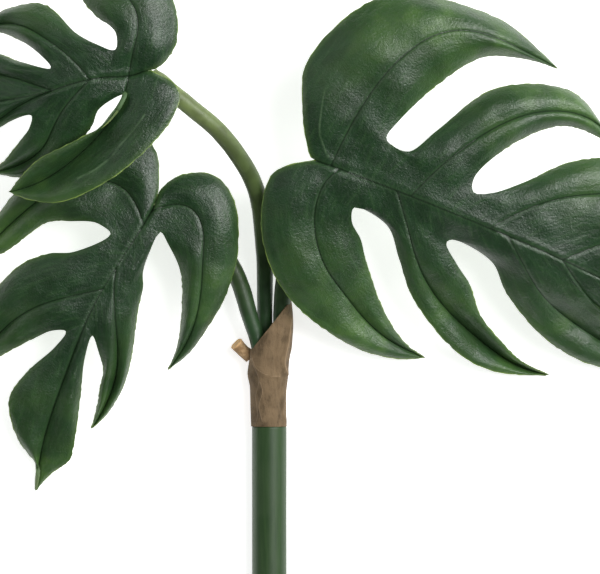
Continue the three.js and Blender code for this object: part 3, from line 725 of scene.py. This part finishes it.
def stem():
    """The stem: a long cylinder with a softened cut end, narrow inside the sheath."""
    length, diameter, neck, neck_length = 190, 14, 12.4, 20
    deselect()
    bpy.ops.mesh.primitive_cylinder_add(
        vertices=64, radius=diameter / 2 * MM, depth=length * MM,
        location=(0, 0, 0), rotation=(math.pi / 2, 0, 0))
    obj = added("stem")
    bpy.ops.object.transform_apply(location=True, rotation=True, scale=True)
    edit(obj, "FACE")
    bpy.ops.mesh.select_all(action="DESELECT")
    done()
    for face in obj.data.polygons:
        face.select = face.normal.y > 0.9
    only(obj)
    bpy.ops.object.mode_set(mode="EDIT")
    bpy.ops.mesh.select_mode(type="FACE")
    bpy.ops.mesh.inset(thickness=(diameter - neck) / 2 * MM)
    bpy.ops.mesh.extrude_region_move(TRANSFORM_OT_translate={"value": (0, neck_length * MM, 0)})
    done()
    edit(obj, "FACE")
    for cut in np.linspace(-length / 2 + 1, length / 2 - 1, 60):
        bpy.ops.mesh.select_all(action="SELECT")
        bpy.ops.mesh.bisect(plane_co=(0, cut * MM, 0), plane_no=(0, 1, 0))
    done()
    edge = obj.modifiers.new("edge", "BEVEL")
    edge.width = 0.7 * MM
    edge.segments = 3
    edge.limit_method = "ANGLE"
    edge.angle_limit = math.radians(60)
    apply(obj, edge)
    edit(obj)
    bpy.ops.mesh.remove_doubles(threshold=2e-5)
    bpy.ops.mesh.dissolve_degenerate(threshold=1e-5)
    done()
    points = coordinates(obj) / MM
    points[:, 1] -= length / 2
    axis_height = np.interp(points[:, 1], [-length, neck_length], [diameter / 2, 8.7])
    round_out = 1 + 0.008 * unevenness(points, 30, 4) + 0.004 * unevenness(points * [1, 0.25, 1], 4, 2)
    points[:, 0] *= round_out
    points[:, 2] = points[:, 2] * round_out + axis_height
    reshape(obj, placed(points))
    smoothed(obj, 40)
    obj.data.materials.append(stem_skin())
    obj.data.materials.append(cut_face())
    for face in obj.data.polygons:
        face.material_index = int(abs(face.normal.y) > 0.9)
    return finished(obj, [], ["main_stem"])


# --- Sheath -----------------------------------------------------------------------------------
SHEATH_SECTIONS = [  # y, middle x, middle z, half width, half height
    (0, -0.2, 8.5, 7.2, 7.3), (10, -0.3, 8.6, 7.2, 7.5), (16, -0.4, 8.7, 7.4, 7.9),
    (21.5, -0.5, 8.8, 8.2, 8.5), (27, 0, 9, 8.1, 8.6), (32, 0.6, 9.3, 8.3, 8.9),
    (38, 1.1, 9.8, 8.5, 9.2), (44, 1.3, 10.2, 8.3, 9.2), (52, 1.2, 10.6, 7.6, 8.8),
]
SHEATH_RINGS = 84
SHEATH_SIDES = 112
MOUTH_MIDDLE = 40  # where the slanted mouth crosses the stem's axis
MOUTH_SLANT = 51  # degrees that the mouth leans from square
PAPER_THICKNESS = 0.55
# Folds seen from above: (height, width, flat line).
SHEATH_FOLDS = [
    (0.75, 0.9, [(8.8, 44), (7.4, 35), (6, 25), (7.4, 21)]),
    (0.55, 0.8, [(-3.2, 18), (-2.4, 14), (-3.6, 8.4), (-2.4, 2)]),
    (-0.4, 0.7, [(1.6, 46), (3, 36), (2.4, 26), (3.8, 12)]),
    (0.4, 0.8, [(-6.4, 28), (-5, 24), (-1, 21), (4, 20.4)]),
    (-0.35, 0.6, [(5.4, 18), (4.4, 11), (5.6, 3)]),
]
SHEATH_FLAP = [(-8.4, 30), (-6.4, 24.6), (-4.4, 19), (-5.6, 12), (-4.8, 5), (-6, 0)]  # outer layer's edge


def sheath():
    """The paper sheath: a wound tube with folds, a flap's edge and a mouth cut on a slant."""
    deselect()
    bpy.ops.mesh.primitive_grid_add(x_subdivisions=SHEATH_SIDES, y_subdivisions=SHEATH_RINGS, size=1)
    obj = added("sheath")
    flat = coordinates(obj)[:, :2] + 0.5
    turn, y = flat[:, 0] * 2 * np.pi, flat[:, 1] * SHEATH_SECTIONS[-1][0]
    sections = np.array(SHEATH_SECTIONS)
    line = smooth(sections, 12)
    middle_x, middle_z, half_width, half_height = (
        np.interp(y, line[:, 0], line[:, k]) for k in (1, 2, 3, 4))
    out = np.column_stack([np.sin(turn), np.zeros_like(turn), -np.cos(turn)])
    points = np.column_stack([middle_x + out[:, 0] * half_width, y, middle_z + out[:, 2] * half_height])
    swell = 0.3 * unevenness(points * [1, 0.45, 1], 5, 6)
    swell += 0.2 * np.abs(unevenness(points * [1, 0.5, 1], 2.4, 8))
    top = np.clip(out[:, 2] * 2.5, 0, 1)
    crease = np.zeros(len(points))
    for height, width, fold in SHEATH_FOLDS:
        away = distance_to_line(points[:, :2], smooth(fold, 8))
        swell += top * ridge(away, height, width)
        crease = np.maximum(crease, top * ridge(away, np.sign(height), 0.3))
    flap = smooth(SHEATH_FLAP, 8)
    beyond = points[:, 0] - np.interp(points[:, 1], flap[::-1, 1], flap[::-1, 0])
    swell += top * 0.45 * np.clip(beyond / 0.35, 0, 1) * np.clip(1 - (beyond - 3) / 6, 0, 1)
    crease = np.maximum(crease, top * ridge(beyond - 0.4, 1, 0.28))
    settle = np.clip(y / 1.5, 0, 1)
    points += out * (swell * (0.25 + 0.75 * settle))[:, None]
    points[:, 2] = np.maximum(points[:, 2], 0.35)
    reshape(obj, placed(points))
    mark(obj, "crease", crease)
    edit(obj)
    bpy.ops.mesh.remove_doubles(threshold=2e-5)
    slant = math.radians(MOUTH_SLANT)
    bpy.ops.mesh.select_all(action="SELECT")
    bpy.ops.mesh.bisect(
        plane_co=tuple(placed((0, MOUTH_MIDDLE, 0))), plane_no=(-math.sin(slant), math.cos(slant), 0),
        clear_outer=True)
    bpy.ops.mesh.select_all(action="SELECT")
    bpy.ops.mesh.normals_make_consistent(inside=False)
    done()
    wall = obj.modifiers.new("wall", "SOLIDIFY")
    wall.thickness = PAPER_THICKNESS * MM
    wall.offset = -1
    apply(obj, wall)
    smoothed(obj, 40)
    return finished(obj, [paper()], ["paper_sheath"])


STUB_ROUTE = [(-7.8, 28.4, 7.4), (-10.6, 30.6, 8.4), (-13.4, 33.6, 9.6)]


def stub():
    """The stub of a side shoot, cut square, with rough end fibres."""
    obj = swept("stub", STUB_ROUTE, lambda share: 2.8 - 0.25 * math.sin(math.pi * share), 24, 7)
    points = measured(obj)
    rough = unevenness(points, 0.9, 5)
    end = np.array(STUB_ROUTE[-1], float)
    way = end - STUB_ROUTE[1]
    way /= np.linalg.norm(way)
    near_end = np.clip(1 + ((points - end) @ way) / 1.2, 0, 1)
    points += way * (rough * near_end * 0.45)[:, None]
    points += np.column_stack([rough, rough[::-1], rough]) * 0.1
    mark(obj, "raw_end", near_end)
    reshape(obj, placed(points))
    smoothed(obj, 35)
    return finished(obj, [stub_wood()], ["cut_stub"])


# --- Finishes ---------------------------------------------------------------------------------
def node(tree, kind, inputs=(), **settings):
    """A node with its settings and inputs: values are set, and sockets are linked."""
    made = tree.nodes.new(kind)
    for name, value in settings.items():
        setattr(made, name, value)
    for key, value in dict(inputs).items():
        if isinstance(value, bpy.types.NodeSocket):
            tree.links.new(value, made.inputs[key])
        else:
            made.inputs[key].default_value = value
    return made


def math_node(tree, operation, first, second=0.0, clamp=False):
    made = node(tree, "ShaderNodeMath", {0: first, 1: second}, operation=operation, use_clamp=clamp)
    return made.outputs[0]


def blend(tree, share, first, second, mode="MIX"):
    made = node(tree, "ShaderNodeMix", {0: share, 6: first, 7: second}, data_type="RGBA", blend_type=mode)
    return made.outputs[2]


def spread(tree, value, low, high, start=0.0, end=1.0):
    """Maps a value from one range to another, smoothly and within its ends."""
    made = node(tree, "ShaderNodeMapRange", {0: value, 1: low, 2: high, 3: start, 4: end})
    made.interpolation_type = "SMOOTHSTEP"
    return made.outputs[0]


def attribute(tree, name):
    return node(tree, "ShaderNodeAttribute", attribute_name=name).outputs["Fac"]


def own_place(tree):
    return node(tree, "ShaderNodeTexCoord").outputs["Object"]


def noise_at(tree, vector, scale, detail=3.0, roughness=0.55):
    inputs = {"Vector": vector, "Scale": scale, "Detail": detail, "Roughness": roughness}
    return node(tree, "ShaderNodeTexNoise", inputs).outputs[0]


def stretched(tree, vector, factors):
    return node(tree, "ShaderNodeVectorMath", {0: vector, 1: factors}, operation="MULTIPLY").outputs[0]


def shader_group(name, inputs, outputs, build):
    """A node group, made once: inputs are (name, kind, default), outputs are (name, kind)."""
    if name in bpy.data.node_groups:
        return bpy.data.node_groups[name]
    tree = bpy.data.node_groups.new(name, "ShaderNodeTree")
    for label, kind, default in inputs:
        socket = tree.interface.new_socket(label, in_out="INPUT", socket_type=kind)
        socket.default_value = default
    for label, kind in outputs:
        tree.interface.new_socket(label, in_out="OUTPUT", socket_type=kind)
    start, end = tree.nodes.new("NodeGroupInput"), tree.nodes.new("NodeGroupOutput")
    for label, socket in build(tree, start.outputs).items():
        tree.links.new(socket, end.inputs[label])
    return tree


def placed_group(tree, group, inputs):
    return node(tree, "ShaderNodeGroup", inputs, node_tree=group).outputs


def mottle_group():
    """Soft patches, a fine speckle and a pebbled height, on a piece's own place."""

    def build(tree, given):
        patches = noise_at(tree, given["Place"], given["Patches"], 2.0)
        speckle = noise_at(tree, given["Place"], given["Speckle"], 3.0, 0.7)
        return {
            "Patch": spread(tree, patches, 0.36, 0.64),
            "Speckle": spread(tree, speckle, 0.35, 0.68),
            "Height": speckle,
        }

    return shader_group(
        "mottle",
        [("Place", "NodeSocketVector", (0, 0, 0)), ("Patches", "NodeSocketFloat", 60.0),
         ("Speckle", "NodeSocketFloat", 1400.0)],
        [("Patch", "NodeSocketFloat"), ("Speckle", "NodeSocketFloat"), ("Height", "NodeSocketFloat")],
        build)


def mottled(tree, patches, speckle):
    """The mottle on a piece's own place; patches and speckle are counts to the metre."""
    inputs = {"Place": own_place(tree), "Patches": patches, "Speckle": speckle}
    return placed_group(tree, mottle_group(), inputs)


def fibre_group():
    """Fibres: noise drawn out along one way."""

    def build(tree, given):
        drawn = stretched(tree, given["Place"], given["Draw"])
        coarse = math_node(tree, "MULTIPLY", noise_at(tree, drawn, 300.0, 3.0), 0.6)
        fine = math_node(tree, "MULTIPLY", noise_at(tree, drawn, 1100.0, 2.0), 0.4)
        both = math_node(tree, "ADD", coarse, fine)
        return {"Fibre": spread(tree, both, 0.38, 0.62), "Height": both}

    return shader_group(
        "fibres",
        [("Place", "NodeSocketVector", (0, 0, 0)), ("Draw", "NodeSocketVector", (1, 0.08, 1))],
        [("Fibre", "NodeSocketFloat"), ("Height", "NodeSocketFloat")],
        build)


def material(name):
    made = bpy.data.materials.new(name)
    made.use_nodes = True
    return made, made.node_tree, made.node_tree.nodes["Principled BSDF"]


def bump(tree, shader, height, strength, size):
    made = node(tree, "ShaderNodeBump", {"Height": height, "Strength": strength, "Distance": size})
    tree.links.new(made.outputs[0], shader.inputs["Normal"])


def connect(tree, shader, **sockets):
    for name, socket in sockets.items():
        tree.links.new(socket, shader.inputs[name.replace("_", " ")])


def leaf_top():
    """Top of a blade: dark green, lighter outwards, thin pale edge, pressed veins with painted shade in
    their grooves and a painted highlight beside them, paler side veins with a painted highlight, waxy
    grained gloss.
    """
    made, tree, shader = material("leaf_top")
    mottle = mottled(tree, 42.0, 1100.0)
    hide = mottled(tree, 130.0, 420.0)
    outward = attribute(tree, "outward")
    to_rim, to_vein = attribute(tree, "to_rim"), attribute(tree, "to_vein")
    patchy = spread(tree, mottle["Patch"], 0, 1, 0.3, 1)
    light = math_node(tree, "MULTIPLY", spread(tree, outward, 0.1, 0.8), patchy)
    colour = blend(tree, light, (0.01, 0.033, 0.011, 1), (0.06, 0.132, 0.028, 1))
    colour = blend(tree, spread(tree, hide["Patch"], 0, 1, 0, 0.35), colour, (0.018, 0.06, 0.02, 1))
    flat_map = node(tree, "ShaderNodeUVMap").outputs[0]
    streak = noise_at(tree, stretched(tree, flat_map, (10.0, 45.0, 1.0)), 1.0, 4.0)
    colour = blend(tree, spread(tree, streak, 0.45, 0.72, 0.0, 0.4), colour, (0.04, 0.1, 0.03, 1))
    edge_band = spread(tree, to_rim, 3.0, 0.2, 0.0, 0.5)
    colour = blend(tree, edge_band, colour, (0.05, 0.11, 0.022, 1))
    # Painted highlight: a lighter band on the shoulders beside each vein groove.
    vein_shoulder_highlight = spread(tree, to_vein, 1.4, 0.6, 0.0, 0.2)
    colour = blend(tree, vein_shoulder_highlight, colour, (0.06, 0.12, 0.05, 1))
    # Lighter lines along the side veins: a paler vein tone together with a painted highlight on their
    # ridges.
    side_vein_tone_and_highlight = spread(tree, attribute(tree, "to_side"), 0.7, 0.1, 0.0, 0.45)
    colour = blend(tree, side_vein_tone_and_highlight, colour, (0.11, 0.19, 0.09, 1))
    # Painted shade: the vein grooves are darkened where shade falls into them.
    vein_groove_shade = spread(tree, to_vein, 0.45, 0.1, 0.0, 0.8)
    colour = blend(tree, vein_groove_shade, colour, (0.006, 0.018, 0.006, 1))
    worn = spread(tree, hide["Patch"], 0, 1, 0.3, 1)
    rim = math_node(tree, "MULTIPLY", spread(tree, to_rim, 0.55, 0.1), worn)
    colour = blend(tree, rim, colour, (0.2, 0.3, 0.06, 1))
    connect(tree, shader, Base_Color=colour, Roughness=spread(tree, mottle["Speckle"], 0, 1, 0.32, 0.46))
    shader.inputs["Specular IOR Level"].default_value = 0.65
    grain = math_node(tree, "ADD", mottle["Height"], math_node(tree, "MULTIPLY", hide["Height"], 0.9))
    height = math_node(tree, "ADD", grain, math_node(tree, "MULTIPLY", streak, 0.9))
    bump(tree, shader, height, 0.6, 0.0004)
    return made


def leaf_underside():
    """Underside of a blade: paler and matt, with lighter veins."""
    made, tree, shader = material("leaf_underside")
    mottle = mottled(tree, 60.0, 1200.0)
    colour = blend(tree, mottle["Patch"], (0.06, 0.12, 0.045, 1), (0.085, 0.155, 0.06, 1))
    vein = spread(tree, attribute(tree, "to_vein"), 1.6, 0.5, 0.0, 0.6)
    colour = blend(tree, vein, colour, (0.17, 0.23, 0.09, 1))
    connect(tree, shader, Base_Color=colour, Roughness=spread(tree, mottle["Speckle"], 0, 1, 0.55, 0.72))
    bump(tree, shader, mottle["Height"], 0.3, 0.0003)
    return made


def leaf_margin():
    """Edge of a blade: a thin yellow-green line."""
    made, tree, shader = material("leaf_margin")
    mottle = mottled(tree, 160.0, 1600.0)
    colour = blend(tree, mottle["Patch"], (0.09, 0.15, 0.04, 1), (0.2, 0.26, 0.07, 1))
    connect(tree, shader, Base_Color=colour, Roughness=spread(tree, mottle["Speckle"], 0, 1, 0.5, 0.65))
    bump(tree, shader, mottle["Height"], 0.3, 0.0002)
    return made


def petiole_skin(name, foot, middle, top):
    """A petiole's skin: colours at the foot, halfway and under the blade, with fine lengthwise fibres."""
    made, tree, shader = material(name)
    along = attribute(tree, "along")
    colour = blend(tree, spread(tree, along, 0.2, 0.6), foot, middle)
    colour = blend(tree, spread(tree, along, 0.55, 0.95), colour, top)
    mottle = mottled(tree, 110.0, 1500.0)
    dim = spread(tree, mottle["Patch"], 0, 1, 0.0, 0.5)
    colour = blend(tree, dim, colour, (0.45, 0.45, 0.45, 1), "MULTIPLY")
    connect(tree, shader, Base_Color=colour, Roughness=spread(tree, mottle["Speckle"], 0, 1, 0.38, 0.52))
    bump(tree, shader, mottle["Height"], 0.25, 0.0003)
    return made


def stem_skin():
    """The stem's skin: satin dark green with soft lengthwise streaks."""
    made, tree, shader = material("stem_skin")
    place = own_place(tree)
    fibres = placed_group(tree, fibre_group(), {"Place": place, "Draw": (1.0, 0.06, 1.0)})
    mottle = mottled(tree, 50.0, 1300.0)
    streak = spread(tree, fibres["Fibre"], 0, 1, 0, 0.6)
    colour = blend(tree, streak, (0.02, 0.052, 0.014, 1), (0.034, 0.076, 0.022, 1))
    colour = blend(tree, spread(tree, mottle["Patch"], 0, 1, 0, 0.3), colour, (0.04, 0.075, 0.03, 1))
    connect(tree, shader, Base_Color=colour, Roughness=spread(tree, mottle["Speckle"], 0, 1, 0.4, 0.5))
    shader.inputs["Specular IOR Level"].default_value = 0.4
    bump(tree, shader, fibres["Height"], 0.12, 0.0004)
    return made


def cut_face():
    """The stem's cut end: pale and fibrous."""
    made, tree, shader = material("cut_face")
    mottle = mottled(tree, 500.0, 2200.0)
    colour = blend(tree, mottle["Patch"], (0.17, 0.2, 0.08, 1), (0.3, 0.3, 0.14, 1))
    connect(tree, shader, Base_Color=colour, Roughness=spread(tree, mottle["Speckle"], 0, 1, 0.7, 0.85))
    bump(tree, shader, mottle["Height"], 0.5, 0.0004)
    return made


def paper():
    """Brown paper: matt, with pale worn creases and short fibres."""
    made, tree, shader = material("paper")
    place = own_place(tree)
    fibres = placed_group(tree, fibre_group(), {"Place": place, "Draw": (1.0, 0.35, 1.0)})
    mottle = mottled(tree, 130.0, 1700.0)
    colour = blend(tree, mottle["Patch"], (0.1, 0.068, 0.036, 1), (0.17, 0.117, 0.064, 1))
    colour = blend(tree, spread(tree, fibres["Fibre"], 0, 1, 0, 0.45), colour, (0.24, 0.165, 0.092, 1))
    worn = spread(tree, attribute(tree, "crease"), 0.4, 1.0, 0.0, 0.55)
    colour = blend(tree, worn, colour, (0.38, 0.27, 0.165, 1))
    connect(tree, shader, Base_Color=colour, Roughness=spread(tree, mottle["Speckle"], 0, 1, 0.72, 0.88))
    shader.inputs["Specular IOR Level"].default_value = 0.25
    height = math_node(tree, "ADD", mottle["Height"], math_node(tree, "MULTIPLY", fibres["Height"], 1.4))
    bump(tree, shader, height, 0.7, 0.0005)
    return made


def stub_wood():
    """The stub: tan bark with a brighter, raw cut end."""
    made, tree, shader = material("stub_wood")
    mottle = mottled(tree, 420.0, 1800.0)
    colour = blend(tree, mottle["Patch"], (0.3, 0.18, 0.08, 1), (0.5, 0.33, 0.17, 1))
    raw = spread(tree, attribute(tree, "raw_end"), 0.1, 0.9, 0, 0.75)
    colour = blend(tree, raw, colour, (0.75, 0.47, 0.22, 1))
    connect(tree, shader, Base_Color=colour, Roughness=spread(tree, mottle["Speckle"], 0, 1, 0.7, 0.85))
    bump(tree, shader, mottle["Height"], 0.6, 0.0005)
    return made


# --- Stage ------------------------------------------------------------------------------------
def floor():
    deselect()
    bpy.ops.mesh.primitive_plane_add(size=6, location=(0, 0, 0))
    obj = added("floor")
    made, _, shader = material("pale_floor")
    shader.inputs["Base Color"].default_value = (0.93, 0.93, 0.93, 1)
    shader.inputs["Roughness"].default_value = 0.9
    shader.inputs["Specular IOR Level"].default_value = 0.1
    shader.inputs["Emission Color"].default_value = (1, 1, 1, 1)
    shader.inputs["Emission Strength"].default_value = 0.65
    obj.data.materials.append(made)


def softbox(name, place, width, height, watts):
    """An area light that faces the middle of the spray."""
    aim = Vector(placed((12, 70, 30)))
    deselect()
    bpy.ops.object.light_add(type="AREA", location=place)
    lamp = added(name)
    lamp.data.shape = "RECTANGLE"
    lamp.data.size, lamp.data.size_y = width, height
    lamp.data.energy = watts
    lamp.rotation_euler = (aim - Vector(place)).to_track_quat("-Z", "Y").to_euler()
    return lamp


def daylight(strength):
    world = bpy.data.worlds.new("studio")
    bpy.context.scene.world = world
    world.use_nodes = True
    world.node_tree.nodes["Background"].inputs["Color"].default_value = (1, 1, 1, 1)
    world.node_tree.nodes["Background"].inputs["Strength"].default_value = strength
    world.cycles_visibility.glossy = False


def camera():
    """Looks straight down, from far enough to draw the spray nearly without perspective."""
    frame_width, sharp_height, distance_away = 240, 40, 2.8
    middle = placed((12.4, 56.4, sharp_height))
    above = (middle[0], middle[1], middle[2] + distance_away)
    bpy.ops.object.camera_add(location=above, rotation=(0, 0, 0))
    lens = bpy.context.object
    lens.name = "camera"
    lens.data.sensor_width = 36
    lens.data.lens = 36 * distance_away / (frame_width * MM)
    lens.data.clip_end = 20
    bpy.context.scene.camera = lens


RIGHT_PETIOLE = [
    (3.7, 20.6, 10), (4.4, 36, 10.5), (5.2, 50, 13.5), (6.8, 66, 19.5), (10, 84, 28.5), (15, 99, 35),
    (17.8, 105.5, 37.6),
]
LOWER_PETIOLE = [
    (-3, 20.6, 11.2), (-4.4, 33, 12.8), (-8, 45, 14.5), (-13.4, 61.5, 16.5), (-25.5, 80, 21),
    (-37.5, 89.5, 24.6), (-43.6, 91.8, 26),
]
UPPER_PETIOLE = [
    (-0.7, 20.6, 4.9), (-1.8, 39, 6.6), (-1.8, 57, 11), (-2, 71, 17), (-5.8, 97, 31), (-18.6, 117, 44),
    (-33, 129.5, 51), (-43, 137.5, 54.4), (-46.6, 141.8, 55.2),
]

camera()
floor()
bpy.context.scene.view_settings.view_transform = "Standard"
daylight(0.28)
softbox("above", (0.2, 0.5, 2.2), 2.4, 2.4, 8).visible_glossy = False
softbox("key", (0.95, 0.45, 1.3), 0.7, 1.5, 31)
softbox("left", (-1.3, 0.5, 1.0), 0.6, 1.0, 2.5)

green_foot, green_middle = (0.022, 0.06, 0.02, 1), (0.05, 0.09, 0.028, 1)
stem()
dark_skin = petiole_skin("petiole_dark", green_foot, green_middle, (0.05, 0.1, 0.04, 1))
petiole("right_stalk", "right_petiole", RIGHT_PETIOLE, dark_skin, 1)
petiole("lower_left_stalk", "lower_left_petiole", LOWER_PETIOLE, dark_skin, 2)
pale_skin = petiole_skin("petiole_pale", green_foot, (0.065, 0.1, 0.027, 1), (0.17, 0.225, 0.075, 1))
petiole("upper_left_stalk", "upper_left_petiole", UPPER_PETIOLE, pale_skin, 3)
sheath()
stub()
leaf_finishes = [leaf_top(), leaf_underside(), leaf_margin()]
blade("right_leaf", "right_blade", RIGHT_LEAF, leaf_finishes, 1)
blade("lower_left_leaf", "lower_left_blade", LOWER_LEAF, leaf_finishes, 2)
blade("upper_left_leaf", "upper_left_blade", UPPER_LEAF, leaf_finishes, 3)
